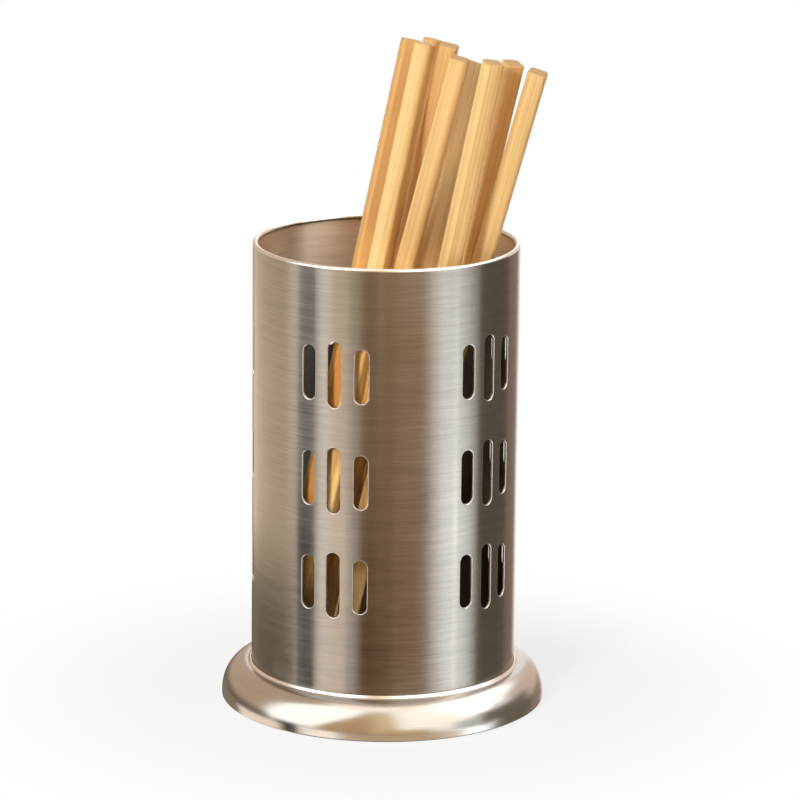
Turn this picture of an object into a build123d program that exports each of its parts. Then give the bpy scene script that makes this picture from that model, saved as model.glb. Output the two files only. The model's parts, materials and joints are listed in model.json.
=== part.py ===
from build123d import *
import os
from math import atan, cos, degrees, radians, sin, sqrt

# Chopstick holder: a slotted sheet tube on a domed base skirt, with its drain floor,
# its foot ring and nine chopsticks that stand in it.
# Millimetres, +Z up. The origin is the centre of the foot ring's underside, on the table.
# The front of the holder looks along -Y, and +X is to the right of someone who faces it.

# Tube
tube_diameter = 98.0
tube_wall = 0.8
holder_height = 173.0
hem_diameter = 2.0

# Drain slots, in groups of columns round the tube and rows up it
slot_groups = 5
slot_rows = 3
slot_columns = 3
first_group_angle = -22.1
column_angle = 12.0
first_row_height = 54.9
row_pitch = 39.2
slot_width = 5.2
side_slot_length = 20.0
middle_slot_length = 24.4
slot_edge_break = 0.25

# Base skirt, a dome of a quarter ellipse round the tube's foot
base_diameter = 120.0
skirt_wall = 0.8
skirt_height = 13.4
skirt_edge_height = 2.0
skirt_table_gap = 0.5
collar_lip_height = 1.0
collar_lip_fillet = 0.25
collar_root_width = 0.65
collar_root_fillet = 0.45

# Foot ring, moulded, under the skirt
foot_plate_height = 2.0
foot_ledge_width = 4.0
foot_collar_height = 7.0
foot_collar_wall = 1.3
tread_groove_count = 2
tread_groove_pitch = 3.6
tread_groove_width = 1.2
tread_groove_depth = 0.6

# Drain floor, a pressed pan upside down in the tube
floor_height = 10.5
floor_wall = 0.8
floor_bend_radius = 1.6
drain_hole_diameter = 5.0
drain_ring_pitch = 13.0
drain_ring_count = 3
holes_in_first_ring = 6

# Running and press clearances
fit_gap = 0.15
rest_gap = 0.3

# Chopsticks, square with rounded corners, thick end down
stick_length = 240.0
stick_width = 7.4
stick_top_width = 6.8
stick_corner_radius = 1.5
stick_end_fillet = 0.7
stick_gap = 0.5

# Each chopstick leans from its foot on the floor to its place in the rim's opening.
# Places are counted in stick pitches: foot_in from the left wall, rim_in from the right
# wall, and foot_back and rim_back from the middle plane towards the back. A roll is the
# turn of a chopstick about its own axis, in degrees.
STICK_PLACES = {
    "chopstick_1": {"foot_in": 0.35, "foot_back": -1.78, "rim_in": 6.18, "rim_back": 0.69, "roll": 11},
    "chopstick_2": {"foot_in": 1.15, "foot_back": -2.89, "rim_in": 5.51, "rim_back": -0.91, "roll": -24},
    "chopstick_3": {"foot_in": 0.41, "foot_back": -0.32, "rim_in": 5.38, "rim_back": 1.83, "roll": 43},
    "chopstick_4": {"foot_in": 2.42, "foot_back": 3.7, "rim_in": 4.35, "rim_back": 1.14, "roll": -8},
    "chopstick_5": {"foot_in": 1.63, "foot_back": 1.31, "rim_in": 4.22, "rim_back": -1.1, "roll": -14},
    "chopstick_6": {"foot_in": 2.98, "foot_back": -4.69, "rim_in": 3.06, "rim_back": 3.73, "roll": 25},
    "chopstick_7": {"foot_in": 4.39, "foot_back": -1.76, "rim_in": 2.43, "rim_back": -3.91, "roll": 19},
    "chopstick_8": {"foot_in": 4.9, "foot_back": 2.49, "rim_in": 1.56, "rim_back": -1.24, "roll": 29},
    "chopstick_9": {"foot_in": 4.64, "foot_back": 1.15, "rim_in": 0.83, "rim_back": -2.31, "roll": -12},
}

# Sizes that follow from the ones above
tube_radius = tube_diameter / 2
tube_bore_radius = tube_radius - tube_wall
hem_radius = hem_diameter / 2
mouth_radius = tube_radius - hem_diameter
base_radius = base_diameter / 2
collar_inner_radius = tube_radius + fit_gap
collar_outer_radius = collar_inner_radius + skirt_wall
dome_root_radius = collar_outer_radius + collar_root_width
floor_radius = tube_bore_radius - fit_gap
stick_pitch = stick_width + stick_gap
stick_corner_reach = (stick_width / 2 - stick_corner_radius) * sqrt(2) + stick_corner_radius
foot_reach = tube_bore_radius - rest_gap - stick_corner_reach
rim_reach = mouth_radius - rest_gap - stick_corner_reach


def ring_of(profile):
    """Revolve a profile, drawn as radius and height, about the holder's upright axis."""
    return revolve(Plane.XZ * profile, axis=Axis.Z)


def block(inner_radius, outer_radius, low, high):
    """Return the rectangle between two radii and two heights."""
    width = outer_radius - inner_radius
    height = high - low
    return Pos(inner_radius + width / 2, low + height / 2) * Rectangle(width, height)


def slot_cutter(length):
    """Return one slot's cutter at the front of the tube's axis, with its broken outer edge."""
    stadium = SlotOverall(length, slot_width, rotation=90)
    through = extrude(Pos(0, 0, tube_bore_radius - tube_wall) * stadium, amount=3 * tube_wall)
    flare_start = tube_radius - slot_edge_break
    flare = extrude(Pos(0, 0, flare_start) * stadium, amount=2 * slot_edge_break, taper=-45)
    return through + flare


def slot_plane(angle, height):
    """Return the plane whose normal runs out through the wall at an angle round the tube."""
    outward = (sin(radians(angle)), -cos(radians(angle)), 0)
    sideways = (cos(radians(angle)), sin(radians(angle)), 0)
    return Plane(origin=(0, 0, height), x_dir=sideways, z_dir=outward)


def make_tube():
    """Make the slotted tube with its rolled top hem."""
    wall = block(tube_bore_radius, tube_radius, foot_plate_height, holder_height - hem_radius)
    hem = Pos(tube_radius - hem_radius, holder_height - hem_radius) * Circle(hem_radius)
    tube = ring_of(wall + hem)
    side_cutter = slot_cutter(side_slot_length)
    middle_cutter = slot_cutter(middle_slot_length)
    middle_column = slot_columns // 2
    cutters = []
    for group in range(slot_groups):
        group_angle = first_group_angle + group * 360 / slot_groups
        for column in range(slot_columns):
            angle = group_angle + (column - middle_column) * column_angle
            cutter = middle_cutter if column == middle_column else side_cutter
            for row in range(slot_rows):
                height = first_row_height + row * row_pitch
                cutters.append(slot_plane(angle, height) * cutter)
    return tube - cutters


def make_base_skirt():
    """Make the domed skirt, one sheet from its edge at the table to its lip round the tube."""
    dome_width = base_radius - dome_root_radius
    dome_height = skirt_height - skirt_edge_height
    dome_centre = (dome_root_radius, skirt_edge_height)
    under_width = dome_width - skirt_wall
    under_height = dome_height - skirt_wall
    lip_top = skirt_height + collar_lip_height
    outside = EllipticalCenterArc(dome_centre, dome_width, dome_height, 0, arc_size=90)
    underside = EllipticalCenterArc(dome_centre, under_width, under_height, 0, arc_size=90)
    edge_radius = base_radius - skirt_wall
    under_root = (dome_root_radius, skirt_height - skirt_wall)
    lip = Polyline(
        (dome_root_radius, skirt_height),
        (collar_outer_radius, skirt_height),
        (collar_outer_radius, lip_top),
        (collar_inner_radius, lip_top),
        (collar_inner_radius, skirt_height - skirt_wall),
        under_root,
    )
    edge = Polyline(
        (edge_radius, skirt_edge_height),
        (edge_radius, skirt_table_gap),
        (base_radius, skirt_table_gap),
        (base_radius, skirt_edge_height),
    )
    profile = make_face([outside, lip, underside, edge])
    root_corner = profile.vertices().sort_by_distance((collar_outer_radius, skirt_height))[0]
    profile = fillet(root_corner, collar_root_fillet)
    lip_corner = profile.vertices().sort_by_distance((collar_outer_radius, lip_top))[0]
    profile = fillet(lip_corner, collar_lip_fillet)
    return ring_of(profile)


def make_foot_ring():
    """Make the foot ring: a plate with tread grooves and a collar that centres the tube."""
    plate_inner_radius = tube_bore_radius - foot_ledge_width
    plate_outer_radius = base_radius - skirt_wall - fit_gap
    profile = block(plate_inner_radius, plate_outer_radius, 0, foot_plate_height)
    collar_top = foot_plate_height + foot_collar_height
    collar_outer = collar_inner_radius + foot_collar_wall
    profile += block(collar_inner_radius, collar_outer, foot_plate_height, collar_top)
    first_groove = (plate_inner_radius + plate_outer_radius) / 2
    first_groove -= (tread_groove_count - 1) * tread_groove_pitch / 2
    for groove in range(tread_groove_count):
        middle = first_groove + groove * tread_groove_pitch
        half_width = tread_groove_width / 2
        profile -= block(middle - half_width, middle + half_width, 0, tread_groove_depth)
    return ring_of(profile)


def make_drain_floor():
    """Make the drain floor: a pan upside down, with rings of drain holes."""
    pan = block(0, floor_radius, foot_plate_height, floor_height)
    hollow = block(0, floor_radius - floor_wall, foot_plate_height, floor_height - floor_wall)
    top_corner = pan.vertices().sort_by_distance((floor_radius, floor_height))[0]
    pan = fillet(top_corner, floor_bend_radius)
    hollow_corner = hollow.vertices().sort_by_distance((floor_radius, floor_height))[0]
    hollow = fillet(hollow_corner, floor_bend_radius - floor_wall)
    floor = ring_of(pan - hollow)
    hole = extrude(Circle(drain_hole_diameter / 2), amount=2 * floor_wall)
    hole = Pos(0, 0, floor_height - 1.5 * floor_wall) * hole
    holes = [hole]
    for ring in range(1, drain_ring_count + 1):
        count = holes_in_first_ring * ring
        for index in range(count):
            angle = index * 360 / count
            holes.append(Rot(0, 0, angle) * Pos(ring * drain_ring_pitch, 0, 0) * hole)
    return floor - holes


def stick_ends(place):
    """Return where a chopstick's axis meets the floor's top and the rim's plane."""
    foot = Vector(
        -foot_reach + place["foot_in"] * stick_pitch,
        place["foot_back"] * stick_pitch,
        floor_height,
    )
    rim = Vector(
        rim_reach - place["rim_in"] * stick_pitch,
        place["rim_back"] * stick_pitch,
        holder_height,
    )
    return foot, rim


def stick_plane(place):
    """Return the plane of a chopstick's lower end, with its normal up along the stick."""
    foot, rim = stick_ends(place)
    along = (rim - foot).normalized()
    unrolled = Vector(along.Z, 0, -along.X)
    rolled = unrolled.rotate(Axis((0, 0, 0), along), place["roll"])
    plane = Plane(origin=foot, x_dir=rolled, z_dir=along)
    corner_drop = stick_width / 2 * (abs(plane.x_dir.Z) + abs(plane.y_dir.Z))
    lift = (rest_gap + corner_drop) / along.Z
    plane.origin = foot + along * lift
    return plane


def make_chopstick():
    """Make one chopstick upright on the origin, thick end down."""
    section = RectangleRounded(stick_width, stick_width, stick_corner_radius)
    slope = degrees(atan((stick_width - stick_top_width) / 2 / stick_length))
    stick = extrude(section, amount=stick_length, taper=slope)
    ends = stick.faces().filter_by(Axis.Z).edges()
    return fillet(ends, stick_end_fillet)


os.makedirs("parts", exist_ok=True)
export_step(make_tube(), "parts/tube.step")
export_step(make_base_skirt(), "parts/base_skirt.step")
export_step(make_foot_ring(), "parts/foot_ring.step")
export_step(make_drain_floor(), "parts/drain_floor.step")
chopstick = make_chopstick()
for name, place in STICK_PLACES.items():
    export_step(stick_plane(place).location * chopstick, f"parts/{name}.step")
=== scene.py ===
"""Looks of the steel chopstick holder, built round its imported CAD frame.

The slotted tube and the domed skirt are modelled again as smooth turned sheet, the nine
chopsticks as planed wood, and every piece gets a procedural finish. The floor pan and the
foot ring are the CAD nodes themselves. Sizes are metres, in the frame's own axes.
"""

import json
import logging
import math
from collections.abc import Callable
from dataclasses import dataclass, field
from enum import Enum

import bpy
from mathutils import Matrix, Vector


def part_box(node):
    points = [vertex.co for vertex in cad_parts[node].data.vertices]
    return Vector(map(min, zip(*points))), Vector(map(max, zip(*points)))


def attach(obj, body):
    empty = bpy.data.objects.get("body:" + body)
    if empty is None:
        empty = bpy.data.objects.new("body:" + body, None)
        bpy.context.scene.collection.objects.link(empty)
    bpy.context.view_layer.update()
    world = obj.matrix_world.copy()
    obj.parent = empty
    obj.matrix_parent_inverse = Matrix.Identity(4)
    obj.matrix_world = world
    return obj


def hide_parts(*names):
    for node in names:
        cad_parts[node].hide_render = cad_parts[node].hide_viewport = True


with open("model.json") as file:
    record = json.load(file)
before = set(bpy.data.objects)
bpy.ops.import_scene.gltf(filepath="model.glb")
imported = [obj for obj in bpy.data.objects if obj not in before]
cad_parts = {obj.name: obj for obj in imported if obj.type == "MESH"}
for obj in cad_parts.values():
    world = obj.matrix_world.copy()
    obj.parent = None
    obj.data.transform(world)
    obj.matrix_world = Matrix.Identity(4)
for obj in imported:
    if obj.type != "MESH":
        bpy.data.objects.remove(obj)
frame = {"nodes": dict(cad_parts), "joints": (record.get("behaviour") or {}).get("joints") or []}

LOG = logging.getLogger("chopstick_holder")
MM = 0.001
Point = tuple[float, float]
Triple = tuple[float, float, float]
Colour = Triple
Piece = bpy.types.Object
Socket = bpy.types.NodeSocket
Value = Socket | float | Triple


class Bodies(Enum):
    """CAD bodies that the pieces ride on."""

    HOLDER = "holder"


class RayKind(Enum):
    """Which rays see a stage object."""

    DIRECT_AND_DIFFUSE = "direct_and_diffuse"
    REFLECTION_ONLY = "reflection_only"


class MeshPart(Enum):
    """Parts of a mesh that can be chosen, each with its select mode."""

    VERTICES = "VERT"
    EDGES = "EDGE"
    POLYGONS = "FACE"


class Workbench:
    """Small modelling steps that every sub-assembly uses."""

    @staticmethod
    def clear_selection() -> None:
        """Leave edit mode and deselect everything."""
        if bpy.context.object and bpy.context.object.mode != "OBJECT":
            bpy.ops.object.mode_set(mode="OBJECT")
        bpy.ops.object.select_all(action="DESELECT")

    @staticmethod
    def pick(piece: Piece) -> None:
        """Make one object the only selected and active one.

        Args:
            piece: The object to work on next.
        """
        Workbench.clear_selection()
        piece.select_set(True)
        bpy.context.view_layer.objects.active = piece

    @staticmethod
    def choose(piece: Piece, kind: MeshPart, wanted: Callable[[object], bool]) -> None:
        """Go to edit mode and select only what passes a test.

        Args:
            piece: The active object.
            kind: What is chosen.
            wanted: The test, which takes a vertex, an edge or a face.
        """
        bpy.ops.object.mode_set(mode="EDIT")
        bpy.ops.mesh.select_mode(type=kind.value)
        bpy.ops.mesh.select_all(action="DESELECT")
        bpy.ops.object.mode_set(mode="OBJECT")
        for part in getattr(piece.data, kind.name.lower()):
            part.select = bool(wanted(part))
        bpy.ops.object.mode_set(mode="EDIT")

    @staticmethod
    def named(name: str) -> Piece:
        """Name the active object and its mesh.

        Args:
            name: The piece's name.

        Returns:
            The active object.
        """
        piece = bpy.context.object
        piece.name = name
        piece.data.name = name
        return piece

    @staticmethod
    def apply_place(piece: Piece) -> None:
        """Put an object's place, turn and scale into its mesh."""
        Workbench.pick(piece)
        bpy.ops.object.transform_apply(location=True, rotation=True, scale=True)

    @staticmethod
    def apply_modifiers(piece: Piece) -> None:
        """Apply all of an object's modifiers in their order.

        Args:
            piece: The object whose modifiers become mesh.
        """
        Workbench.pick(piece)
        for modifier in list(piece.modifiers):
            bpy.ops.object.modifier_apply(modifier=modifier.name)

    @staticmethod
    def copy_of(piece: Piece, name: str, place: Matrix) -> Piece:
        """Copy an object with a mesh of its own and put it in place.

        Args:
            piece: The object that repeats.
            name: The copy's name.
            place: Where the copy goes, baked into its mesh.

        Returns:
            The copy, at the origin.
        """
        copy = piece.copy()
        copy.data = piece.data.copy()
        copy.name = name
        copy.data.name = name
        bpy.context.scene.collection.objects.link(copy)
        copy.matrix_world = place
        bpy.context.view_layer.update()
        Workbench.apply_place(copy)
        return copy

    @staticmethod
    def store(piece: Piece, name: str, values: list[float] | list[Vector]) -> None:
        """Store one number or one vector for each corner of a mesh.

        Args:
            piece: The object.
            name: The attribute's name.
            values: As many values as the mesh has corners, in their order.
        """
        vectors = isinstance(values[0], Vector)
        attribute = piece.data.attributes.new(name, "FLOAT_VECTOR" if vectors else "FLOAT", "POINT")
        for corner, value in zip(attribute.data, values):
            setattr(corner, "vector" if vectors else "value", value)

    @staticmethod
    def remove(piece: Piece) -> None:
        """Delete a helper object."""
        bpy.data.objects.remove(piece, do_unlink=True)

    @staticmethod
    def smooth(piece: Piece, angle: float) -> None:
        """Shade an object smooth up to an angle, with large faces leading the normals.

        Args:
            piece: The finished mesh.
            angle: The largest angle that stays smooth, in degrees.
        """
        Workbench.pick(piece)
        bpy.ops.object.shade_smooth_by_angle(angle=math.radians(angle))
        weighted = piece.modifiers.new("large_faces_lead", "WEIGHTED_NORMAL")
        weighted.mode = "FACE_AREA"
        weighted.weight = 100
        weighted.keep_sharp = True
        Workbench.apply_modifiers(piece)


@dataclass
class Lathe:
    """Turns a drawn profile about the holder's upright axis.

    Attributes:
        segments: Steps in a full turn.
    """

    segments: int = 360

    def turn(self, name: str, profile: list[Point], closed: bool = True,
             start: float = 0.0, sweep: float = 360.0) -> Piece:
        """Draw a profile vertex by vertex and spin it.

        Args:
            name: The new object's name.
            profile: Radius and height of each corner, in metres.
            closed: Whether the last corner joins the first.
            start: Where the turn starts, in degrees from the front towards the right.
            sweep: How far the profile turns, in degrees.

        Returns:
            The turned object.
        """
        Workbench.clear_selection()
        bpy.ops.mesh.primitive_plane_add(size=MM, location=(0, 0, 0))
        piece = Workbench.named(name)
        bpy.ops.object.mode_set(mode="EDIT")
        bpy.ops.mesh.select_mode(type="VERT")
        bpy.ops.mesh.merge(type="CENTER")
        direction = Vector((math.sin(math.radians(start)), -math.cos(math.radians(start)), 0))
        corners = [direction * radius + Vector((0, 0, height)) for radius, height in profile]
        bpy.ops.transform.translate(value=corners[0])
        for before, after in zip(corners, corners[1:]):
            bpy.ops.mesh.extrude_verts_indiv()
            bpy.ops.transform.translate(value=after - before)
        if closed:
            ends = (0, len(corners) - 1)
            Workbench.choose(piece, MeshPart.VERTICES, lambda corner: corner.index in ends)
            bpy.ops.mesh.edge_face_add()
        steps = max(2, round(self.segments * sweep / 360))
        bpy.ops.mesh.select_all(action="SELECT")
        bpy.ops.mesh.spin(steps=steps, angle=-math.radians(sweep), center=(0, 0, 0), axis=(0, 0, 1))
        bpy.ops.mesh.select_all(action="SELECT")
        bpy.ops.mesh.remove_doubles(threshold=0.002 * MM)
        bpy.ops.mesh.normals_make_consistent(inside=False)
        bpy.ops.object.mode_set(mode="OBJECT")
        return piece


def arc(centre: Point, radius_out: float, radius_up: float, first: float, last: float,
        steps: int) -> list[Point]:
    """Return points along an arc of a circle or an ellipse.

    Args:
        centre: The arc's centre, as radius and height.
        radius_out: Half width, away from the holder's axis.
        radius_up: Half height.
        first: First angle in degrees, 0 pointing away from the axis and 90 upwards.
        last: Last angle in degrees.
        steps: Number of runs along the arc.

    Returns:
        The points, both ends included.
    """
    points = []
    for step in range(steps + 1):
        angle = math.radians(first + (last - first) * step / steps)
        points.append((centre[0] + radius_out * math.cos(angle),
                       centre[1] + radius_up * math.sin(angle)))
    return points


def shade(colour: Colour, factor: float) -> Colour:
    """Return a colour made darker or lighter by a factor."""
    return tuple(min(1.0, channel * factor) for channel in colour)


class NodeBench:
    """Builds the node tree of a material or of the world."""

    def __init__(self, name: str, world: bool = False) -> None:
        """Start an empty node tree.

        Args:
            name: The material's or the world's name.
            world: Whether it is a world.
        """
        blocks = bpy.data.worlds if world else bpy.data.materials
        self.block = blocks.new(name)
        self.block.use_nodes = True
        self.tree = self.block.node_tree
        self.tree.nodes.clear()
        output = self.tree.nodes.new(f"ShaderNodeOutput{'World' if world else 'Material'}")
        self.surface = output.inputs["Surface"]

    def fill(self, node: bpy.types.Node, inputs: dict[str | int, Value]) -> None:
        """Set a node's inputs, or link them where the value is a socket.

        Args:
            node: The node.
            inputs: A number, a vector, a colour or a socket for each input.
        """
        for key, value in inputs.items():
            target = node.inputs[key]
            if isinstance(value, Socket):
                self.tree.links.new(value, target)
            else:
                target.default_value = (*value, 1) if target.type == "RGBA" else value

    def add(self, kind: str, inputs: dict[str | int, Value] | None = None,
            **settings: str | bool) -> bpy.types.Node:
        """Add a node.

        Args:
            kind: The node's type name.
            inputs: What goes into its inputs.
            **settings: The node's own settings.

        Returns:
            The node.
        """
        node = self.tree.nodes.new(kind)
        for key, value in settings.items():
            setattr(node, key, value)
        self.fill(node, inputs or {})
        return node

    def shader(self, colour: Colour, roughness: float, metallic: float) -> bpy.types.Node:
        """Add the main surface shader and join it to the output.

        Args:
            colour: Its base colour, linear.
            roughness: Its roughness.
            metallic: 1 for metal.

        Returns:
            The Principled node.
        """
        node = self.add("ShaderNodeBsdfPrincipled",
                        {"Base Color": colour, "Roughness": roughness, "Metallic": metallic})
        self.tree.links.new(node.outputs[0], self.surface)
        return node

    def mix(self, share: Socket, first: bpy.types.Node, second: bpy.types.Node) -> None:
        """Join two shaders to the output, by 0 for the first and 1 for the second."""
        inputs = {0: share, 1: first.outputs[0], 2: second.outputs[0]}
        self.tree.links.new(self.add("ShaderNodeMixShader", inputs).outputs[0], self.surface)

    def glow(self, share: Socket, colour: Colour) -> None:
        """Let the surface glow by a share and be clear for the rest."""
        light = self.add("ShaderNodeEmission", {"Color": colour})
        self.mix(share, self.add("ShaderNodeBsdfTransparent"), light)

    def background_rays(self) -> Socket:
        """Tell the rays that show the background from the rest.

        Returns:
            1 for those rays and 0 for the others.
        """
        path = self.add("ShaderNodeLightPath")
        total = path.outputs["Is Camera Ray"]
        for name in ("Is Glossy Ray", "Is Transmission Ray"):
            total = self.add("ShaderNodeMath", {0: total, 1: path.outputs[name]},
                             operation="ADD", use_clamp=True).outputs[0]
        return total

    def place(self, scale: Triple, attribute: str = "") -> Socket:
        """Return stretched coordinates for a pattern.

        Args:
            scale: Pattern repeats in a metre along x, y and z.
            attribute: The mesh attribute that holds them, or none for the object's own.

        Returns:
            The coordinate socket.
        """
        if attribute:
            source = self.add("ShaderNodeAttribute", attribute_name=attribute).outputs["Vector"]
        else:
            source = self.add("ShaderNodeTexCoord").outputs["Object"]
        return self.add("ShaderNodeMapping", {"Vector": source, "Scale": scale}).outputs[0]

    def axes(self, turn: float = 0.0) -> tuple[Socket, ...]:
        """Return the object's own x, y and z.

        Args:
            turn: How far they are turned about the upright axis, in radians.

        Returns:
            The three sockets.
        """
        source = self.add("ShaderNodeTexCoord").outputs["Object"]
        if turn:
            turned = self.add("ShaderNodeMapping", {"Vector": source, "Rotation": (0, 0, turn)})
            source = turned.outputs[0]
        return tuple(self.add("ShaderNodeSeparateXYZ", {0: source}).outputs)

    def distance(self) -> Socket:
        """Return the distance from the object's own middle."""
        source = self.add("ShaderNodeTexCoord").outputs["Object"]
        return self.add("ShaderNodeVectorMath", {0: source}, operation="LENGTH").outputs["Value"]

    def attribute(self, name: str) -> Socket:
        """Return a number that is stored on the mesh."""
        return self.add("ShaderNodeAttribute", attribute_name=name).outputs["Fac"]

    def noise(self, place: Socket, detail: float = 2.0, roughness: float = 0.5) -> Socket:
        """Return noise at a place, with its octaves of finer noise and their strength."""
        inputs = {"Vector": place, "Scale": 1.0, "Detail": detail, "Roughness": roughness}
        return self.add("ShaderNodeTexNoise", inputs).outputs["Fac"]

    def spread(self, value: Socket, low: float, high: float, to_low: float, to_high: float,
               smooth: bool = False) -> Socket:
        """Map the range from low to high to another range.

        Args:
            value: The value that is mapped.
            low: Lowest value read.
            high: Highest value read.
            to_low: What the lowest becomes.
            to_high: What the highest becomes.
            smooth: Whether the change eases in and out.

        Returns:
            The mapped value.
        """
        inputs = {0: value, 1: low, 2: high, 3: to_low, 4: to_high}
        change = "SMOOTHSTEP" if smooth else "LINEAR"
        return self.add("ShaderNodeMapRange", inputs, interpolation_type=change).outputs[0]

    def maths(self, operation: str, first: Socket, second: Socket | float = 0.0) -> Socket:
        """Combine a value with another value or a number."""
        return self.add("ShaderNodeMath", {0: first, 1: second}, operation=operation).outputs[0]

    def blend(self, share: Socket, first: Colour | Socket, second: Colour | Socket) -> Socket:
        """Mix two colours, by 0 for the first and 1 for the second."""
        inputs = {"Factor": share, 6: first, 7: second}
        return self.add("ShaderNodeMix", inputs, data_type="RGBA").outputs[2]

    def bump(self, height: Socket, strength: float, depth: float,
             shader: bpy.types.Node) -> None:
        """Give the shader a bump, whose relief is so many metres deep."""
        inputs = {"Height": height, "Strength": strength, "Distance": depth}
        self.fill(shader, {"Normal": self.add("ShaderNodeBump", inputs).outputs["Normal"]})


@dataclass(frozen=True)
class Finish:
    """What the finishes share.

    Attributes:
        METALLIC: 1 for metal.
        name: The material's name.
        colour: Base colour, linear.
        roughness: Mean roughness.
    """

    METALLIC = 1.0

    name: str
    colour: Colour
    roughness: float

    def material(self) -> bpy.types.Material:
        """Make the material.

        Returns:
            The material, with the finish's own pattern.
        """
        bench = NodeBench(self.name)
        self._dress(bench, bench.shader(self.colour, self.roughness, self.METALLIC))
        return bench.block

    def _dress(self, bench: NodeBench, shader: bpy.types.Node) -> None:
        """Give the shader the finish's own pattern."""
        raise NotImplementedError


@dataclass(frozen=True)
class BrushedSteel(Finish):
    """Stainless sheet with fine brushing round the tube.

    Attributes:
        anisotropy: How far the brushing stretches reflections up and down.
        line_height: Height of one brushed line in metres.
        line_length: Length of a brushed line in metres.
        line_share: Share of the fine lines in the brushing, beside the broad ones.
        broad_lines: How many broad lines stand in the height of one fine line.
        haze: Repeats in a metre of the cloudy wear, along x, y and z.
        haze_depth: How far the wear changes the roughness.
        line_depth: How far the lines change the roughness.
        bump: Strength of the lines' bump.
        relief: Depth of the lines in metres.
        tone_change: How far the lines change the colour, as a share.
        painted_highlight: Painted highlight: a much brighter base colour blended onto the rim and
            the punched slot edges, standing in for their bright highlight lines, linear.
        painted_mouth_reflection: Painted reflection: a warm, light base colour on the inner face
            near the rim, standing in for the warm light reflected there, linear.
        inside: Painted shade: a dark base colour on the inner face deep inside the tube, standing
            in for the shade there, linear.
        painted_shade_top: Height up to which the inner face is fully painted dark; above it the
            painted warm reflection takes over.
        painted_shade_fade: Height over which the painted shade gives way to the painted reflection.
        inside_dulling: How much rougher the inside is than the outside.
    """

    INNER = "inner_face"
    BRIGHT = "bright_edge"

    colour: Colour = (0.335, 0.305, 0.27)
    roughness: float = 0.225
    anisotropy: float = 0.8
    line_height: float = 0.6 * MM
    line_length: float = 16 * MM
    line_share: float = 0.65
    broad_lines: float = 0.22
    haze: Triple = (28, 28, 18)
    haze_depth: float = 0.03
    line_depth: float = 0.02
    bump: float = 0.12
    relief: float = 0.006 * MM
    tone_change: float = 0.085
    painted_highlight: Colour = (0.86, 0.83, 0.79)
    painted_mouth_reflection: Colour = (0.96, 0.79, 0.60)
    inside: Colour = (0.17, 0.15, 0.125)
    painted_shade_top: float = 140 * MM
    painted_shade_fade: float = 12 * MM
    inside_dulling: float = 0.14

    def _dress(self, bench: NodeBench, shader: bpy.types.Node) -> None:
        """Brush the sheet, paint a warm reflection into its mouth, paint shade deep inside it and
        paint highlights on its rim and slot edges.

        Args:
            bench: The material's nodes.
            shader: Its main shader.
        """
        along = 1 / self.line_length
        fine = bench.noise(bench.place((along, along, 1 / self.line_height)), 3.0, 0.6)
        broad_up = self.broad_lines / self.line_height
        broad = bench.noise(bench.place((along / 2, along / 2, broad_up)))
        brushing = bench.maths("ADD", bench.maths("MULTIPLY", fine, self.line_share),
                               bench.maths("MULTIPLY", broad, 1 - self.line_share))
        haze = bench.noise(bench.place(self.haze), 3.0)
        wear_and_highlight = bench.spread(haze, 0.35, 0.65, -self.haze_depth, self.haze_depth)
        lined = bench.spread(brushing, 0.3, 0.7, self.roughness - self.line_depth,
                             self.roughness + self.line_depth)
        inner = bench.attribute(self.INNER)
        height = bench.axes()[2]
        deep = bench.spread(height, self.painted_shade_top, self.painted_shade_top + self.painted_shade_fade,
                            1.0, 0.0, smooth=True)
        duller = bench.maths("ADD", lined, bench.maths("MULTIPLY", inner, self.inside_dulling))
        share = bench.spread(brushing, 0.35, 0.65, 0.0, 1.0)
        outside = bench.blend(share, shade(self.colour, 1 - self.tone_change),
                              shade(self.colour, 1 + self.tone_change))
        # Painted reflection: the inner face takes a warm, light colour, standing in for the warm
        # light reflected inside the mouth.
        painted_mouth_reflection = bench.blend(share, shade(self.painted_mouth_reflection, 1 - 2 * self.tone_change), self.painted_mouth_reflection)
        sheet = bench.blend(inner, outside, painted_mouth_reflection)
        # Painted shade: deep inside the tube the inner face turns dark.
        sheet = bench.blend(bench.maths("MULTIPLY", inner, deep), sheet, self.inside)
        tangent = bench.add("ShaderNodeTangent", direction_type="RADIAL", axis="Z")
        # Painted highlight: the rim and the punched edges marked on the mesh get a much brighter
        # base colour.
        bench.fill(shader, {
            "Base Color": bench.blend(bench.attribute(self.BRIGHT), sheet, self.painted_highlight),
            "Roughness": bench.maths("ADD", duller, wear_and_highlight),
            "Tangent": tangent.outputs[0],
            "Anisotropic": self.anisotropy,
            "Anisotropic Rotation": 0.25,
        })
        bench.bump(brushing, self.bump, self.relief, shader)


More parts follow.
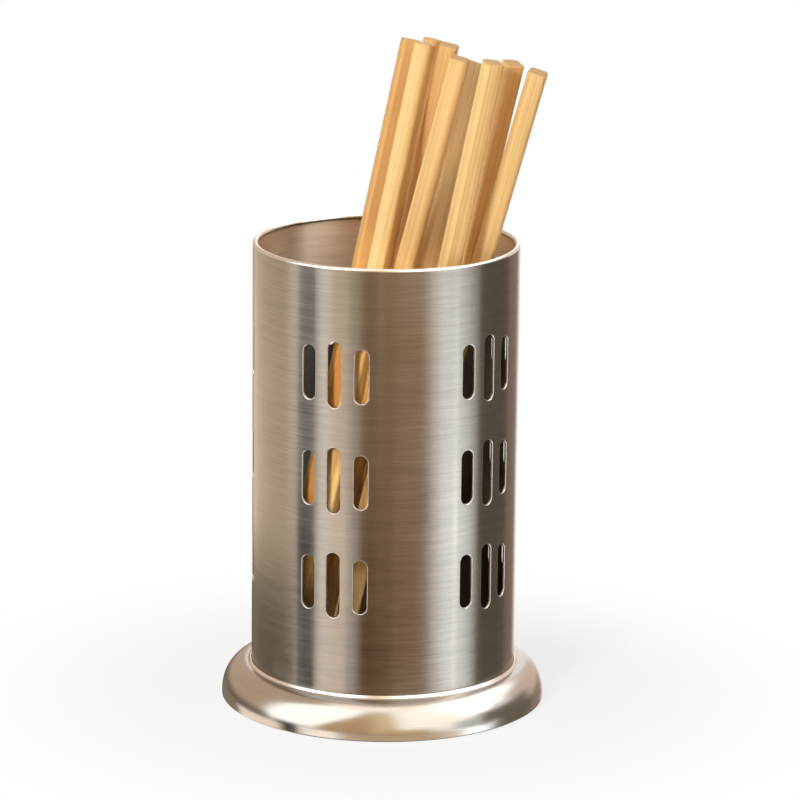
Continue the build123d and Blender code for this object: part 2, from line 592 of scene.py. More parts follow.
@dataclass(frozen=True)
class SpunSteel(Finish):
    """Satin spun steel of the skirt, with faint turning rings.

    Attributes:
        ring_pitch: Distance between turning rings in metres.
        ring_tone: How dark the colour is in the rings, as a share.
        cloud: Repeats in a metre of the cloudy wear, along x, y and z.
        relief: Depth of the rings in metres.
        painted_highlight: Painted highlight: a brighter base colour on the lip, standing in for its
            bright highlight line, linear.
    """

    colour: Colour = (0.58, 0.545, 0.505)
    roughness: float = 0.2
    ring_pitch: float = 0.35 * MM
    ring_tone: float = 0.95
    cloud: Triple = (45, 45, 45)
    relief: float = 0.004 * MM
    painted_highlight: Colour = (0.88, 0.85, 0.81)

    def _dress(self, bench: NodeBench, shader: bpy.types.Node) -> None:
        """Turn the rings into the sheet, wear its roughness in clouds and paint a highlight on its
        lip.

        Args:
            bench: The material's nodes.
            shader: Its main shader.
        """
        x, y, z = bench.axes()
        square = bench.maths("ADD", bench.maths("MULTIPLY", x, x), bench.maths("MULTIPLY", y, y))
        radius = bench.maths("SQRT", square)
        rings = bench.add("ShaderNodeCombineXYZ", {
            "X": bench.maths("DIVIDE", radius, self.ring_pitch),
            "Y": bench.maths("DIVIDE", z, self.ring_pitch),
        })
        turned = bench.noise(rings.outputs[0], 2.0, 0.6)
        wear_and_highlight = bench.noise(bench.place(self.cloud), 4.0, 0.55)
        share = bench.spread(turned, 0.35, 0.65, 0.0, 1.0)
        sheet = bench.blend(share, shade(self.colour, self.ring_tone), self.colour)
        # Painted highlight: the lip marked on the mesh gets a brighter base colour.
        bright = bench.attribute(BrushedSteel.BRIGHT)
        bench.fill(shader, {
            "Base Color": bench.blend(bright, sheet, self.painted_highlight),
            "Roughness": bench.spread(wear_and_highlight, 0.3, 0.7, self.roughness - 0.04,
                                      self.roughness + 0.05),
        })
        bench.bump(turned, 0.25, self.relief, shader)


@dataclass(frozen=True)
class PressedSteel(Finish):
    """Plain rolled sheet of the drain floor, with scuffs from chopsticks.

    Attributes:
        scuff_tone: How dark the colour is in the scuffs, as a share.
        scuff_dulling: How much rougher the scuffs are.
        relief: Depth of the rolling marks in metres.
    """

    colour: Colour = (0.50, 0.47, 0.43)
    roughness: float = 0.38
    scuff_tone: float = 0.85
    scuff_dulling: float = 0.16
    relief: float = 0.006 * MM

    def _dress(self, bench: NodeBench, shader: bpy.types.Node) -> None:
        """Roll the sheet and scuff it.

        Args:
            bench: The material's nodes.
            shader: Its main shader.
        """
        rolled = bench.noise(bench.place((60, 2200, 400)))
        scuffs = bench.noise(bench.place((420, 380, 200)), 5.0, 0.7)
        share = bench.spread(scuffs, 0.5, 0.75, 0, 1)
        bench.fill(shader, {
            "Base Color": bench.blend(share, self.colour, shade(self.colour, self.scuff_tone)),
            "Roughness": bench.spread(scuffs, 0.4, 0.7, self.roughness,
                                      self.roughness + self.scuff_dulling),
        })
        bench.bump(rolled, 0.3, self.relief, shader)


@dataclass(frozen=True)
class FootRubber(Finish):
    """Matt moulded rubber of the foot ring.

    Attributes:
        dust: How much the dust adds to the colour.
        relief: Depth of the moulded grain in metres.
    """

    METALLIC = 0.0

    colour: Colour = (0.045, 0.043, 0.041)
    roughness: float = 0.72
    dust: float = 0.03
    relief: float = 0.02 * MM

    def _dress(self, bench: NodeBench, shader: bpy.types.Node) -> None:
        """Mould the grain into the rubber and dust it.

        Args:
            bench: The material's nodes.
            shader: Its main shader.
        """
        grain = bench.noise(bench.place((2600, 2600, 2600)), 3.0, 0.6)
        dust = bench.noise(bench.place((90, 90, 140)), 4.0, 0.6)
        dusty = tuple(channel + self.dust for channel in self.colour)
        bench.fill(shader, {
            "Base Color": bench.blend(bench.spread(dust, 0.5, 0.8, 0, 1), self.colour, dusty),
            "Roughness": bench.spread(dust, 0.35, 0.7, self.roughness - 0.08,
                                      self.roughness + 0.1),
        })
        bench.bump(grain, 0.4, self.relief, shader)


@dataclass(frozen=True)
class ChopstickWood(Finish):
    """Oiled bamboo, with fibres along the stick and pores on the ends.

    Attributes:
        fibre: Colour of the fibres, linear.
        amber: Colour of the darker sticks, linear; their darkness is partly their own tone and
            partly painted shade.
        end_grain: Colour of the cut ends, linear.
        gloss: Strength of the bare wood's reflection.
        oil: Strength of the thin coat of oil.
        oil_roughness: Roughness of that coat.
        relief: Depth of the grain in metres.
    """

    METALLIC = 0.0

    colour: Colour = (0.97, 0.70, 0.33)
    roughness: float = 0.46
    fibre: Colour = (0.72, 0.42, 0.15)
    amber: Colour = (0.72, 0.35, 0.10)
    end_grain: Colour = (0.80, 0.52, 0.22)
    gloss: float = 0.25
    oil: float = 0.05
    oil_roughness: float = 0.35
    relief: float = 0.03 * MM

    def _dress(self, bench: NodeBench, shader: bpy.types.Node) -> None:
        """Grow the grain along the stick, tone it, partly with painted shade, and oil it.

        Args:
            bench: The material's nodes.
            shader: Its main shader.
        """
        fine = bench.noise(bench.place((1300, 1300, 10), Chopsticks.GRAIN), 3.0, 0.6)
        broad = bench.noise(bench.place((430, 430, 4), Chopsticks.GRAIN))
        flecks = bench.noise(bench.place((2600, 2600, 130), Chopsticks.GRAIN), 1.0)
        pores = bench.noise(bench.place((2600, 2600, 40), Chopsticks.GRAIN), 2.0, 0.6)
        side = bench.blend(bench.spread(fine, 0.42, 0.66, 0.0, 0.5), self.colour, self.fibre)
        side = bench.blend(bench.spread(broad, 0.42, 0.62, 0.0, 0.6), side, self.fibre)
        side = bench.blend(bench.spread(flecks, 0.66, 0.74, 0.0, 0.35), side, self.amber)
        # Each stick's stored tone darkens it: partly its own tone, partly painted shade on the
        # sticks behind the others.
        side = bench.blend(bench.attribute(Chopsticks.TONE), side, self.amber)
        cut = bench.blend(bench.spread(pores, 0.50, 0.66, 0.0, 0.6), self.end_grain, self.amber)
        bench.fill(shader, {
            "Base Color": bench.blend(bench.attribute(Chopsticks.END), side, cut),
            "Roughness": bench.spread(fine, 0.3, 0.7, self.roughness - 0.06,
                                      self.roughness + 0.1),
            "Specular IOR Level": self.gloss,
            "Coat Weight": self.oil,
            "Coat Roughness": self.oil_roughness,
        })
        bench.bump(bench.maths("ADD", fine, pores), 0.3, self.relief, shader)


@dataclass
class Tube:
    """The slotted tube with its rolled rim.

    Attributes:
        radius: Outer radius, from the CAD node.
        top: Height of the rim, from the CAD node.
        bottom: Height of the lower edge, from the CAD node.
        wall: Sheet thickness.
        hem_radius: Radius of the rolled rim.
        slot_width: Width of a slot.
        side_slot_length: Length of the outer slots of a group.
        middle_slot_length: Length of the middle slot of a group.
        edge_round: Radius that the punched edge is rounded to.
        edge_steps: Runs round that edge.
        edge_highlight: How strongly the painted highlight brightens the punched edges, 1 for as
            bright as the rim.
        first_group_angle: Where the first group stands, in degrees to the right of the front.
        column_angle: Angle between two slots of a group, in degrees.
        first_row_height: Height of the lowest row's middle.
        row_pitch: Distance between two rows.
        groups: Groups round the tube.
        columns: Slots side by side in a group.
        rows: Rows of slots.
        segments: Steps round the tube.
    """

    radius: float = field(init=False)
    top: float = field(init=False)
    bottom: float = field(init=False)
    wall: float = 0.8 * MM
    hem_radius: float = 1.0 * MM
    slot_width: float = 5.2 * MM
    side_slot_length: float = 20.0 * MM
    middle_slot_length: float = 24.4 * MM
    edge_round: float = 0.35 * MM
    edge_steps: int = 6
    edge_highlight: float = 0.55
    first_group_angle: float = -22.1
    column_angle: float = 12.0
    first_row_height: float = 54.9 * MM
    row_pitch: float = 39.2 * MM
    groups: int = 5
    columns: int = 3
    rows: int = 3
    segments: int = 480

    def __post_init__(self) -> None:
        """Take the outside sizes from the CAD node."""
        low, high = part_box("tube")
        self.radius = high.x
        self.bottom, self.top = low.z, high.z

    def build(self) -> Piece:
        """Model the tube, punch its slots and dress it.

        Returns:
            The tube.
        """
        bore = self.radius - self.wall
        hem = (self.radius - self.hem_radius, self.top - self.hem_radius)
        meeting = 360 - math.degrees(math.acos((bore - hem[0]) / self.hem_radius))
        profile = [(self.radius, self.bottom)]
        profile += arc(hem, self.hem_radius, self.hem_radius, 0, meeting, 26)
        profile.append((bore, self.bottom))
        tube = Lathe(self.segments).turn("tube_sheet", profile)
        punch = self._punch()
        cut = tube.modifiers.new("slots", "BOOLEAN")
        cut.operation = "DIFFERENCE"
        cut.solver = "MANIFOLD"
        cut.object = punch
        Workbench.apply_modifiers(tube)
        Workbench.remove(punch)
        Workbench.smooth(tube, 32)
        self._mark(tube)
        tube.data.materials.clear()
        tube.data.materials.append(BrushedSteel("brushed_steel").material())
        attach(tube, Bodies.HOLDER.value)
        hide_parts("tube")
        return tube

    def _mark(self, tube: Piece) -> None:
        """Store on the mesh which corners lie on the inner face and which get the painted highlight
        on the rim and the punched edges.

        Args:
            tube: The finished tube.
        """
        bore = self.radius - self.wall
        inner_reach = bore + 0.05 * MM
        edge_from, edge_to = bore + 0.02 * MM, self.radius - 0.01 * MM
        under_hem = self.top - 1.9 * self.hem_radius
        rim_from = self.top - 0.9 * self.hem_radius
        inner, bright = [], []
        for vertex in tube.data.vertices:
            radius = math.hypot(vertex.co.x, vertex.co.y)
            below_hem = vertex.co.z < under_hem
            inner.append(float(radius < inner_reach and below_hem))
            # Painted highlight: the punched edges get a share of it, the rim all of it.
            on_edge = edge_from < radius < edge_to and below_hem
            wear_and_highlight = self.edge_highlight if on_edge else 0.0
            bright.append(1.0 if vertex.co.z > rim_from else wear_and_highlight)
        Workbench.store(tube, BrushedSteel.INNER, inner)
        Workbench.store(tube, BrushedSteel.BRIGHT, bright)

    def _punch(self) -> Piece:
        """Set out a punch for every slot.

        Returns:
            All the punches as one object.
        """
        middle_column = self.columns // 2
        patterns = [self._slot_punch("side_punch", self.side_slot_length),
                    self._slot_punch("middle_punch", self.middle_slot_length)]
        punches = []
        for group in range(self.groups):
            for column in range(self.columns):
                angle = self.first_group_angle + group * 360 / self.groups
                angle += (column - middle_column) * self.column_angle
                pattern = patterns[column == middle_column]
                for row in range(self.rows):
                    height = self.first_row_height + row * self.row_pitch
                    place = Matrix.Rotation(math.radians(angle), 4, "Z")
                    place = Matrix.Translation((0, 0, height)) @ place
                    punches.append(Workbench.copy_of(pattern, "punch", place))
        for pattern in patterns:
            Workbench.remove(pattern)
        Workbench.pick(punches[0])
        for punch in punches:
            punch.select_set(True)
        bpy.ops.object.join()
        return Workbench.named("punches")

    def _slot_punch(self, name: str, length: float) -> Piece:
        """Model the punch of one slot at the front of the tube.

        The punch starts as a round pin with a flared shoulder, is stretched to the slot's
        length, and is then wrapped to the tube's curve.

        Args:
            name: The punch's name.
            length: The slot's length.

        Returns:
            The punch.
        """
        half_width = self.slot_width / 2
        inner = self.radius - 3 * self.wall
        shoulder = self.radius - self.edge_round
        Workbench.clear_selection()
        bpy.ops.mesh.primitive_cylinder_add(
            vertices=48, radius=half_width, depth=shoulder - inner,
            location=(0, -(inner + shoulder) / 2, 0), rotation=(math.pi / 2, 0, 0))
        punch = Workbench.named(name)
        Workbench.apply_place(punch)
        front = min(punch.data.polygons, key=lambda face: face.center.y).index
        Workbench.choose(punch, MeshPart.POLYGONS, lambda face: face.index == front)
        reach, spread = 0.0, half_width
        for step in range(1, self.edge_steps + 1):
            angle = math.radians(90 * step / self.edge_steps)
            next_reach = self.edge_round * math.sin(angle)
            next_spread = half_width + self.edge_round * (1 - math.cos(angle))
            self._extrude_face(next_reach - reach, next_spread / spread)
            reach, spread = next_reach, next_spread
        self._extrude_face(self.wall, 1.0)
        bpy.ops.object.mode_set(mode="OBJECT")
        stretch = length / 2 - half_width
        for vertex in punch.data.vertices:
            if abs(vertex.co.z) > 0.001 * MM:
                vertex.co.z += math.copysign(stretch, vertex.co.z)
            distance = -vertex.co.y
            turn = vertex.co.x / self.radius
            vertex.co.x = distance * math.sin(turn)
            vertex.co.y = -distance * math.cos(turn)
        return punch

    @staticmethod
    def _extrude_face(outwards: float, growth: float) -> None:
        """Extrude the selected face away from the axis at the front.

        Args:
            outwards: How far it moves out.
            growth: How much it grows across.
        """
        bpy.ops.mesh.extrude_region()
        bpy.ops.transform.translate(value=(0, -outwards, 0))
        bpy.ops.transform.resize(value=(growth, 1, growth), center_override=(0, 0, 0))


@dataclass
class BaseSkirt:
    """The domed skirt with its lip round the tube.

    Attributes:
        radius: Outer radius, from the CAD node.
        bottom: Height of the lower edge, from the CAD node.
        top: Height of the lip, from the CAD node.
        tube_radius: Outer radius of the tube, from its CAD node.
        wall: Sheet thickness.
        edge_height: Height at which the dome starts.
        lip_height: How far the lip stands above the dome.
        lip_gap: Gap between the lip and the tube.
        lip_ridge: How far the lip's highest line is from its inner side.
        lip_round: Radius at the lip's top.
        lip_slope: How steeply the lip's outer side slopes, in degrees.
        root_width: Flat ring between the lip and the dome.
        root_round: Radius in the corner under the lip.
        hem_round: Radius at the skirt's lower edge.
        edge_break: Width of the broken edges on the inner side.
        bright_from: Height above the dome from which the lip gets the painted highlight.
    """

    radius: float = field(init=False)
    bottom: float = field(init=False)
    top: float = field(init=False)
    tube_radius: float = field(init=False)
    wall: float = 0.8 * MM
    edge_height: float = 2.0 * MM
    lip_height: float = 1.0 * MM
    lip_gap: float = 0.15 * MM
    lip_ridge: float = 0.25 * MM
    lip_round: float = 0.15 * MM
    lip_slope: float = 45.0
    root_width: float = 0.65 * MM
    root_round: float = 0.5 * MM
    hem_round: float = 0.2 * MM
    edge_break: float = 0.05 * MM
    bright_from: float = 0.1 * MM

    def __post_init__(self) -> None:
        """Take the outside sizes from the CAD nodes."""
        low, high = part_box("base_skirt")
        self.radius = high.x
        self.bottom, self.top = low.z, high.z
        self.tube_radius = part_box("tube")[1].x

    def build(self) -> Piece:
        """Model the skirt and dress it.

        Returns:
            The skirt.
        """
        inner = self.tube_radius + self.lip_gap
        outer = inner + self.wall
        root = outer + self.root_width
        crown = self.top - self.lip_height
        width = self.radius - root
        height = crown - self.edge_height
        edge = self.radius - self.wall
        dent = self.edge_break
        profile = arc((root, self.edge_height), width, height, 0, 90, 40)
        profile += arc((outer + self.root_round, crown + self.root_round),
                       self.root_round, self.root_round, 270, 270 - self.lip_slope, 5)
        profile += arc((inner + self.lip_ridge, self.top - self.lip_round),
                       self.lip_round, self.lip_round, 90 - self.lip_slope, 90, 4)
        profile += [(inner + dent, self.top), (inner, self.top - dent)]
        profile += [(inner, crown - self.wall), (root, crown - self.wall)]
        profile += arc((root, self.edge_height), width - self.wall, height - self.wall, 86, 0, 24)
        profile += [(edge, self.bottom + dent), (edge + dent, self.bottom)]
        profile += arc((self.radius - self.hem_round, self.bottom + self.hem_round),
                       self.hem_round, self.hem_round, -90, 0, 4)
        skirt = Lathe().turn("skirt_sheet", profile)
        Workbench.smooth(skirt, 35)
        # Painted highlight: marks the lip above this height for a brighter base colour.
        bright_from = crown + self.bright_from
        on_lip = [float(vertex.co.z > bright_from) for vertex in skirt.data.vertices]
        Workbench.store(skirt, BrushedSteel.BRIGHT, on_lip)
        skirt.data.materials.clear()
        skirt.data.materials.append(SpunSteel("spun_steel").material())
        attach(skirt, Bodies.HOLDER.value)
        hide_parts("base_skirt")
        return skirt


@dataclass
class CadFloorAndFoot:
    """The drain floor and the foot ring, which stay as their CAD nodes.

    Attributes:
        finishes: Each CAD node's finish.
    """

    finishes: dict[str, Finish] = field(default_factory=lambda: {
        "drain_floor": PressedSteel("pressed_steel"),
        "foot_ring": FootRubber("foot_rubber"),
    })

    def build(self) -> list[Piece]:
        """Dress the CAD nodes.

        Returns:
            The dressed nodes.
        """
        dressed = []
        for name, finish in self.finishes.items():
            node = frame["nodes"][name]
            material = finish.material()
            for slot in node.material_slots:
                slot.material = material
            dressed.append(node)
        return dressed


@dataclass
class Chopsticks:
    """The chopsticks, modelled once and copied to each CAD node's place.

    Attributes:
        width: Width of the foot end.
        top_width: Width of the top end.
        length: Length of a chopstick.
        corner_round: Radius of the long corners.
        end_round: Radius at the ends.
        end_depth: How far from its ends a chopstick shows end grain.
        grain_shift: How far the grain moves from one chopstick to the next.
        tones_and_shade: How amber each chopstick is, 0 for the palest; partly the sticks' own tone,
            partly painted shade on the sticks that stand behind.
    """

    GRAIN = "grain_place"
    TONE = "stick_tone"
    END = "cut_end"

    width: float = 7.4 * MM
    top_width: float = 6.8 * MM
    length: float = 240 * MM
    corner_round: float = 1.5 * MM
    end_round: float = 0.7 * MM
    end_depth: float = 0.3 * MM
    grain_shift: Triple = (0.031, 0.017, 0.11)
    # Partly the sticks' own tone and partly painted shade: sticks standing behind the others are
    # made darker.
    tones_and_shade: dict[str, float] = field(default_factory=lambda: {
        "chopstick_1": 0.50, "chopstick_2": 0.02, "chopstick_3": 0.30,
        "chopstick_4": 0.40, "chopstick_5": 0.02, "chopstick_6": 0.04,
        "chopstick_7": 0.02, "chopstick_8": 0.18, "chopstick_9": 0.04,
    })

    def build(self) -> list[Piece]:
        """Model the chopsticks and dress them.

        Returns:
            The chopsticks.
        """
        pattern = self._pattern()
        pattern.data.materials.clear()
        pattern.data.materials.append(ChopstickWood("chopstick_wood").material())
        sticks = []
        axes = {joint["child"]: Vector(joint["axis"]) for joint in frame["joints"]}
        for number, (node, tone) in enumerate(self.tones_and_shade.items()):
            place = self._place_of(frame["nodes"][node], axes[node])
            stick = Workbench.copy_of(pattern, f"{node}_wood", place)
            self._mark(stick, place, number, tone)
            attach(stick, node)
            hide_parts(node)
            sticks.append(stick)
        Workbench.remove(pattern)
        return sticks

    def _pattern(self) -> Piece:
        """Model one upright chopstick.

        Returns:
            The chopstick, foot end down on the origin.
        """
        Workbench.clear_selection()
        bpy.ops.mesh.primitive_cube_add(size=1, location=(0, 0, self.length / 2),
                                        scale=(self.width, self.width, self.length))
        stick = Workbench.named("chopstick_pattern")
        Workbench.apply_place(stick)
        middle = self.length / 2
        Workbench.choose(stick, MeshPart.VERTICES, lambda vertex: vertex.co.z > middle)
        growth = self.top_width / self.width
        bpy.ops.transform.resize(value=(growth, growth, 1), center_override=(0, 0, self.length))
        Workbench.choose(stick, MeshPart.EDGES, lambda edge: self._is_long(stick, edge))
        bpy.ops.mesh.bevel(offset=self.corner_round, segments=7, affect="EDGES")
        Workbench.choose(stick, MeshPart.EDGES, lambda edge: self._at_end(stick, edge))
        bpy.ops.mesh.bevel(offset=self.end_round, segments=5, affect="EDGES")
        bpy.ops.object.mode_set(mode="OBJECT")
        Workbench.smooth(stick, 40)
        return stick

    def _is_long(self, piece: Piece, edge: bpy.types.MeshEdge) -> bool:
        """Return whether an edge runs along the chopstick."""
        first, last = (piece.data.vertices[index].co.z for index in edge.vertices)
        return abs(last - first) > self.length / 2

    def _at_end(self, piece: Piece, edge: bpy.types.MeshEdge) -> bool:
        """Return whether an edge lies in one of the end faces."""
        heights = [piece.data.vertices[index].co.z for index in edge.vertices]
        return max(heights) < 0.01 * MM or min(heights) > self.length - 0.01 * MM

    @staticmethod
    def _place_of(node: Piece, axis: Vector) -> Matrix:
        """Find where a CAD chopstick stands and how it is turned.

        Args:
            node: The CAD node.
            axis: The chopstick's own axis, up.

        Returns:
            The place of an upright chopstick that is modelled on the origin.
        """
        up = axis.normalized()
        side = max(node.data.polygons, key=lambda face: face.area).normal
        across = (side - up * side.dot(up)).normalized()
        deep = up.cross(across)
        points = [vertex.co for vertex in node.data.vertices]
        spans = []
        for direction in (across, deep):
            reaches = [point.dot(direction) for point in points]
            spans.append((min(reaches) + max(reaches)) / 2)
        foot = across * spans[0] + deep * spans[1] + up * min(point.dot(up) for point in points)
        place = Matrix((across, deep, up)).transposed().to_4x4()
        place.translation = foot
        return place

    def _mark(self, stick: Piece, place: Matrix, number: int, tone: float) -> None:
        """Store the grain's place, the tone with its painted shade and the cut ends on a
        chopstick's mesh.

        Args:
            stick: The chopstick, in place.
            place: Where it stands.
            number: Its number, so that no two have the same grain.
            tone: How amber it is, partly its own tone and partly painted shade.
        """
        home = place.inverted()
        shift = Vector(part * number for part in self.grain_shift)
        corners = [home @ vertex.co for vertex in stick.data.vertices]
        from_end = [min(corner.z, self.length - corner.z) for corner in corners]
        Workbench.store(stick, self.GRAIN, [corner + shift for corner in corners])
        Workbench.store(stick, self.TONE, [tone] * len(corners))
        Workbench.store(stick, self.END, [float(depth < self.end_depth) for depth in from_end])


@dataclass(frozen=True)
class Card:
    """A coloured card that stands round the set and shows only in the metal.

    Attributes:
        name: The card's name.
        azimuth: Its middle, in degrees to the right of the camera's side.
        half_width: Half of its width in degrees.
        low: Elevation of its lower edge in degrees.
        high: Elevation of its upper edge in degrees.
        colour: How bright and what colour it is, 1 for a white background.
        feather: Width of its soft side edges in degrees.
        soft: Width of its soft upper and lower edges in degrees.
        slant: How far its upper edge rises in a degree to the right, in degrees.
        distance: How far away it stands in metres.
        cover: How much of what is behind it the card hides.
        HIGHEST: The highest elevation that a card reaches, in degrees.
        BANDS: Bands of faces up a card.
    """

    HIGHEST = 86.0
    BANDS = 8

    name: str
    azimuth: float
    half_width: float
    low: float
    high: float
    colour: Colour
    feather: float
    soft: float
    slant: float
    distance: float
    cover: float = 1.0

    def build(self) -> Piece:
        """Put the card up.

        Returns:
            The card.
        """
        top = min(self.HIGHEST, self.high + abs(self.slant) * self.half_width)
        low, high = (self.distance * math.tan(math.radians(angle)) for angle in (self.low, top))
        heights = [low + (high - low) * band / self.BANDS for band in range(self.BANDS + 1)]
        card = Lathe(180).turn(self.name, [(self.distance, height) for height in heights],
                               closed=False, start=self.azimuth - self.half_width,
                               sweep=2 * self.half_width)
        card.data.materials.append(self._material())
        Studio.show_to(card, RayKind.REFLECTION_ONLY)
        return card

    def _material(self) -> bpy.types.Material:
        """Make the card's glow, soft at all its edges.

        Returns:
            The material.
        """
        bench = NodeBench(self.name)
        x, y, z = bench.axes(-math.radians(self.azimuth))
        turn = bench.maths("ARCTAN2", x, bench.maths("MULTIPLY", y, -1.0))
        rise = bench.maths("ARCTANGENT", bench.maths("DIVIDE", z, self.distance))
        level = bench.maths("SUBTRACT", rise, bench.maths("MULTIPLY", turn, self.slant))
        low, high, soft = (math.radians(value) for value in (self.low, self.high, self.soft))
        share = bench.spread(bench.maths("ABSOLUTE", turn),
                             math.radians(self.half_width - self.feather),
                             math.radians(self.half_width), self.cover, 0.0, smooth=True)
        for edge in (bench.spread(rise, low, low + soft, 0, 1, smooth=True),
                     bench.spread(level, high - soft, high, 1, 0, smooth=True)):
            share = bench.maths("MULTIPLY", share, edge)
        bench.glow(share, self.colour)
        return bench.block


@dataclass(frozen=True)
class Lamp:
    """A lamp that doesn't show in the metal.

    Attributes:
        name: The lamp's name.
        place: Where its middle is, in metres.
        aim: The point that it faces.
        colour: Its light's colour.
    """

    name: str
    place: Triple
    aim: Triple
    colour: Colour

    def _hang(self, kind: str, power: float) -> bpy.types.Light:
        """Hang the lamp and turn it to its aim.

        Args:
            kind: Blender's kind of lamp.
            power: Its power in watts.

        Returns:
            The lamp's own settings.
        """
        Workbench.clear_selection()
        bpy.ops.object.light_add(type=kind, location=self.place)
        lamp = Workbench.named(self.name)
        lamp.data.energy = power
        lamp.data.color = self.colour
        towards = Vector(self.aim) - lamp.location
        lamp.rotation_euler = towards.to_track_quat("-Z", "Y").to_euler()
        lamp.visible_glossy = False
        return lamp.data


@dataclass(frozen=True)
class SoftBox(Lamp):
    """A large soft lamp.

    Attributes:
        width: Its width in metres.
        height: Its height in metres.
        brightness: How bright its face looks, 1 for a white background.
    """

    width: float
    height: float
    brightness: float

    def build(self) -> None:
        """Hang the lamp with its size."""
        light = self._hang("AREA", math.pi * self.width * self.height * self.brightness)
        light.shape = "RECTANGLE"
        light.size = self.width
        light.size_y = self.height


@dataclass(frozen=True)
class SlotSpot(Lamp):
    """A narrow spot that lights the chopsticks through the slots.

    Attributes:
        power: Its power in watts.
        beam: The full width of its beam, in degrees.
        edge: How soft the beam's edge is, from 0 to 1.
        radius: Radius of the lamp in metres.
    """

    power: float
    beam: float
    edge: float
    radius: float

    def build(self) -> None:
        """Hang the spot with its beam."""
        light = self._hang("SPOT", self.power)
        light.spot_size = math.radians(self.beam)
        light.spot_blend = self.edge
        light.shadow_soft_size = self.radius


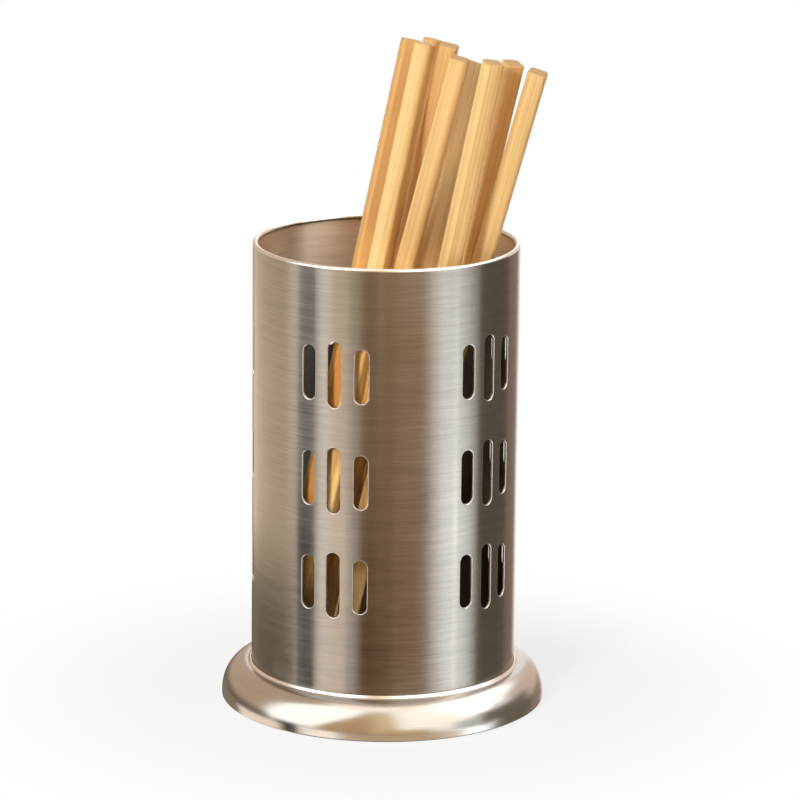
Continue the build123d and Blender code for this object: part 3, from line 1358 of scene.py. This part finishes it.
@dataclass
class Studio:
    """Camera, floor, background, lamps and cards.

    Attributes:
        camera_place: The camera's place in metres.
        camera_down: How far it looks down, in degrees.
        camera_right: How far it looks to the right, in degrees.
        camera_roll: Its roll in degrees.
        lens: Focal length in millimetres on the sensor below.
        sensor_width: Width of the sensor in millimetres.
        floor_radius: Radius of the floor.
        floor_tone: The floor's own colour.
        floor_fade: Where the floor starts and ends to turn into the background, in metres.
        floor_glow: Share of the background in the floor next to the holder.
        ambient: Strength of the soft light from all sides.
        ambient_colour: Its colour.
        lamps: The lamps, which light the matt surfaces.
        cards: The cards that the metal shows.
        overhead_height: Height of the card over the set, which only the metal shows.
        overhead_radius: Its radius.
        overhead_colour: How bright and what colour it is.
    """

    camera_place: Triple = (0.0, -1.64808, 0.52790)
    camera_down: float = 14.13
    camera_right: float = 0.19
    camera_roll: float = 0.607
    lens: float = 207.34
    sensor_width: float = 36
    floor_radius: float = 3.5
    floor_tone: float = 0.92
    floor_fade: Point = (0.065, 0.18)
    floor_glow: float = 0.78
    ambient: float = 0.27
    ambient_colour: Colour = (1.0, 0.76, 0.48)
    lamps: list[SoftBox | SlotSpot] = field(default_factory=lambda: [
        SoftBox("left_lamp", (-1.35, -0.70, 1.00), (0, 0, 0.12), (0.86, 0.94, 1.0), 1.2, 1.6, 1.6),
        SoftBox("right_lamp", (1.3, -0.9, 1.1), (0, 0, 0.1), (1.0, 0.74, 0.46), 0.8, 0.8, 2.2),
        SoftBox("key_lamp", (-0.72, -1.42, 0.92), (0, 0, 0.12), (0.96, 0.96, 0.92),
                0.26, 0.26, 76.0),
        SlotSpot("slot_spot", (-0.09, -1.70, 0.57), (-0.02, -0.03, 0.122), (1.0, 0.82, 0.58),
                 80.0, 4.0, 0.5, 0.02),
    ])
    cards: list[Card] = field(default_factory=lambda: [
        Card("back_wall", 174, 22, -60, 40, (1.15, 1.12, 1.08), 8, 10, 0, 3.0),
        Card("left_window", -56, 38, -8, 84, (2.0, 2.0, 1.95), 11, 9, 0, 3.0),
        Card("right_window", 97, 68, 24, 84, (2.1, 2.1, 2.05), 10, 8, 0, 3.0),
        Card("bright_window", 64, 27, 20, 62, (4.8, 4.75, 4.6), 9, 8, 0, 2.95),
        Card("cream_wall", 38, 34, -14, 76, (1.72, 1.65, 1.52), 9, 14, 0, 2.9),
        Card("tan_wall", -133, 45, -60, 78, (0.66, 0.50, 0.37), 8, 12, 0, 2.8),
        Card("tan_front", 0, 14, -14, 70, (0.98, 0.74, 0.42), 7, 12, 0, 2.8),
        Card("tan_front_low", 16, 22, -16, 8, (0.92, 0.66, 0.33), 8, 8, 0, 2.75),
        Card("golden_wedge", -27, 24, -18, 44, (0.72, 0.48, 0.25), 8, 14, 1.85, 2.7),
        Card("pink_wall_high", 138, 30, -10, 38, (0.85, 0.66, 0.55), 8, 10, 0, 2.65),
        Card("grey_green_patch", 61, 12, -14, 15, (0.66, 0.73, 0.73), 6, 7, 0, 2.6),
        Card("dark_wall_high", 100, 30, -12, 23, (0.20, 0.165, 0.125), 7, 11, 0, 2.5),
        Card("pink_wall", 141, 20, -60, 2, (0.42, 0.30, 0.24), 7, 6, 0, 2.4),
        Card("dark_wall", 109, 24, -60, 0, (0.22, 0.19, 0.14), 5, 5, 0, 2.35),
        Card("beige_table", -120, 42, -60, -4, (1.25, 1.03, 0.79), 8, 5, 0, 2.3),
        Card("brown_table_right", 25, 19, -60, -8, (0.22, 0.06, 0.0), 8, 4, 0, 2.25),
        Card("brown_table_left", -5, 21, -60, -8, (0.13, 0.03, 0.0), 9, 4, 0, 2.2),
        Card("silver_table", 66, 24, -60, -8, (2.45, 2.65, 2.85), 15, 5, -0.2, 2.1),
        Card("bright_strip", 64, 2.0, -60, -8, (4.4, 4.6, 4.6), 1.2, 4, 0, 2.0),
        Card("warm_table", -45.5, 18, -60, -7, (2.0, 1.82, 1.62), 8, 5, 0, 2.0),
        Card("dark_strip", -70.8, 10.2, -60, -2, (0.0, 0.0, 0.0), 2.5, 5, 0, 1.9),
        Card("low_glow_left", -70, 22, -60, -1, (1.5, 1.3, 1.1), 9, 3, 0, 0.09, 0.9),
        Card("low_glow_front", 12, 36, -60, -1, (0.95, 0.70, 0.47), 12, 3, 0, 0.092, 0.8),
        Card("low_ring", 0, 180, -50, 6, (0.06, 0.05, 0.035), 0.5, 12, 0, 0.2, 0.15),
        Card("low_ring_left", -118, 48, -50, 9, (0.06, 0.05, 0.035), 8, 12, 0, 0.19, 0.75),
    ])
    overhead_height: float = 2.2
    overhead_radius: float = 1.0
    overhead_colour: Colour = (1.7, 1.5, 1.3)

    def build(self) -> None:
        """Set up the whole studio."""
        self._camera()
        self._floor()
        self._world()
        self._overhead()
        for part in [*self.lamps, *self.cards]:
            part.build()
            LOG.info("stage: %s", part.name)
        bpy.context.scene.view_settings.view_transform = "Standard"

    def _camera(self) -> None:
        """Place the camera at the photograph's viewing angle."""
        Workbench.clear_selection()
        bpy.ops.object.camera_add(location=self.camera_place)
        camera = bpy.context.object
        camera.name = "front_camera"
        camera.data.lens = self.lens
        camera.data.sensor_fit = "HORIZONTAL"
        camera.data.sensor_width = self.sensor_width
        camera.data.clip_end = 50
        turn = Matrix.Rotation(-math.radians(self.camera_right), 4, "Z")
        turn = turn @ Matrix.Rotation(math.radians(90 - self.camera_down), 4, "X")
        turn = turn @ Matrix.Rotation(math.radians(self.camera_roll), 4, "Z")
        camera.matrix_world = Matrix.Translation(self.camera_place) @ turn
        bpy.context.scene.camera = camera

    def _floor(self) -> None:
        """Lay the plain pale floor, which keeps the holder's shadow."""
        floor = self._disc("floor", 96, self.floor_radius, 0.0)
        bench = NodeBench("pale_floor")
        tone = (self.floor_tone, self.floor_tone, self.floor_tone)
        matt = bench.add("ShaderNodeBsdfDiffuse", {"Color": tone})
        far = bench.spread(bench.distance(), *self.floor_fade, self.floor_glow, 1.0, smooth=True)
        share = bench.maths("MULTIPLY", far, bench.background_rays())
        bench.mix(share, matt, bench.add("ShaderNodeEmission"))
        floor.data.materials.append(bench.block)
        self.show_to(floor, RayKind.DIRECT_AND_DIFFUSE)

    def _overhead(self) -> None:
        """Hang the round card over the set."""
        card = self._disc("overhead_card", 64, self.overhead_radius, self.overhead_height)
        bench = NodeBench("overhead_card")
        share = bench.spread(bench.distance(), 0.6 * self.overhead_radius, self.overhead_radius,
                             1.0, 0.0, smooth=True)
        bench.glow(share, self.overhead_colour)
        card.data.materials.append(bench.block)
        self.show_to(card, RayKind.REFLECTION_ONLY)

    def _world(self) -> None:
        """Make the background white and the light from all sides soft."""
        bench = NodeBench("soft_studio", world=True)
        around = bench.add("ShaderNodeBackground",
                           {"Color": self.ambient_colour, "Strength": self.ambient})
        behind = bench.add("ShaderNodeBackground", {"Color": (1, 1, 1)})
        bench.mix(bench.background_rays(), around, behind)
        bpy.context.scene.world = bench.block

    @staticmethod
    def _disc(name: str, corners: int, radius: float, height: float) -> Piece:
        """Add a level disc.

        Args:
            name: The disc's name.
            corners: Corners round it.
            radius: Its radius.
            height: How high it lies.

        Returns:
            The disc.
        """
        Workbench.clear_selection()
        bpy.ops.mesh.primitive_circle_add(vertices=corners, radius=radius,
                                          fill_type="NGON", location=(0, 0, height))
        return Workbench.named(name)

    @staticmethod
    def show_to(piece: Piece, rays: RayKind) -> None:
        """Choose which rays see a stage object.

        Args:
            piece: The stage object.
            rays: The rays that see it.
        """
        reflection_only = rays is RayKind.REFLECTION_ONLY
        piece.visible_camera = not reflection_only
        piece.visible_diffuse = not reflection_only
        piece.visible_shadow = not reflection_only
        piece.visible_transmission = not reflection_only
        piece.visible_glossy = reflection_only


def main() -> None:
    """Build the stage and every sub-assembly in order."""
    logging.basicConfig(level=logging.INFO, format="%(name)s: %(message)s")
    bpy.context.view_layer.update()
    Studio().build()
    for assembly in (Tube(), BaseSkirt(), CadFloorAndFoot(), Chopsticks()):
        made = assembly.build()
        pieces = made if isinstance(made, list) else [made]
        for piece in pieces:
            LOG.info("piece: %s, %d faces", piece.name, len(piece.data.polygons))


if __name__ == "__main__":
    main()
